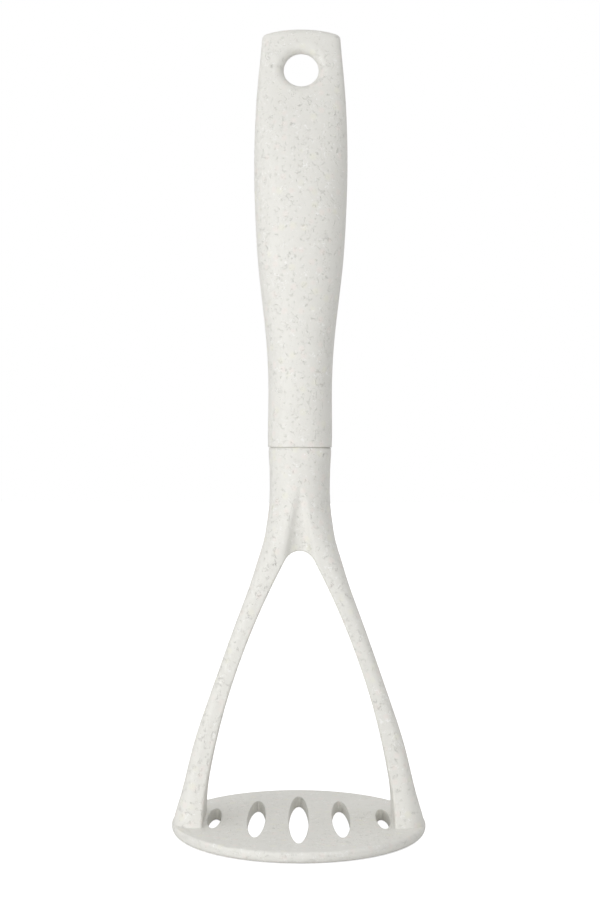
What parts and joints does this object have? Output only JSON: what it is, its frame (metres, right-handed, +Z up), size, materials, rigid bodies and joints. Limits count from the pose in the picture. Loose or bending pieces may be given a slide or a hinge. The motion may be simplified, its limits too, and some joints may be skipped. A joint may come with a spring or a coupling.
{
  "type": "potato masher",
  "caption": "Upright potato masher: a round slotted plate on two splayed legs that join in a neck, with a long grip and a hanging hole.",
  "frame": {"origin": "centre of the mashing plate's flat underside, where the masher stands", "axes": "+Z up along the handle, away from the mashing face; -Y towards the front; +X along the row of slots"},
  "size_m": [0.084, 0.084, 0.2653],
  "materials": {
    "handle_plastic": "off-white plant-fibre plastic with fine tan and white flecks",
    "head_plastic": "off-white plant-fibre plastic with fine tan and white flecks"
  },
  "bodies": {
    "root": {"handle": "handle_plastic", "masher_head": "head_plastic"}
  },
  "joints": []
}
